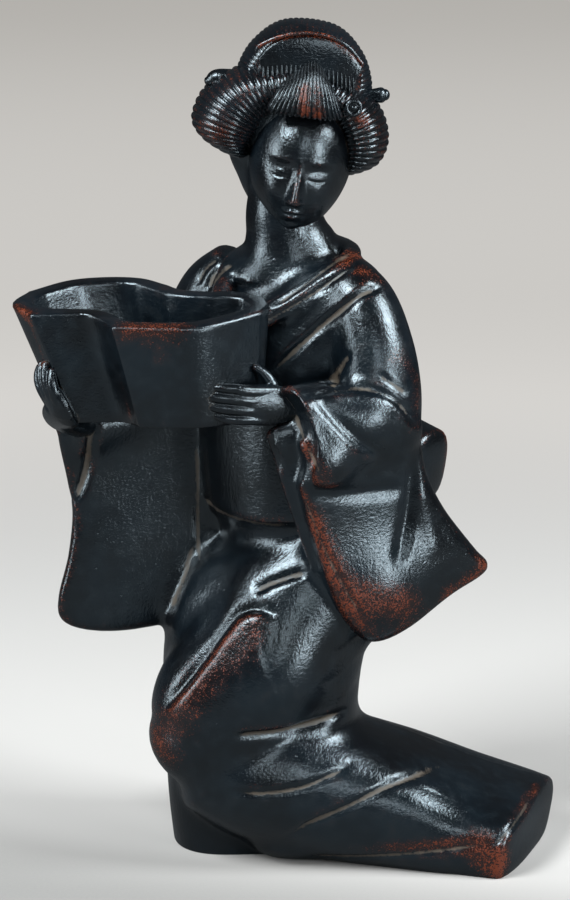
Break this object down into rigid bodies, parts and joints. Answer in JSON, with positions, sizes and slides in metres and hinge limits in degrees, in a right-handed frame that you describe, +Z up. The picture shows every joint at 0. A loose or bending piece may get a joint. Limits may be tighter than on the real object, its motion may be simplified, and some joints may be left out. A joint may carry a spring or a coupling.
{
  "type": "figurine",
  "caption": "Kneeling lady in a long-sleeved kimono with a combed, ridged hairdo, holding out a lobed open bowl, cast in one piece on a flat foot.",
  "frame": {"origin": "bottom centre of the bounding box, on the flat foot", "axes": "+Z up through the head, -Y towards the viewer, +X towards the trailing hem"},
  "size_m": [0.194, 0.1156, 0.2993],
  "materials": {
    "glaze": "gloss blue-black glaze, rust-red where worn, tan dust in the creases"
  },
  "bodies": {
    "root": {"figurine": "glaze"}
  },
  "joints": []
}
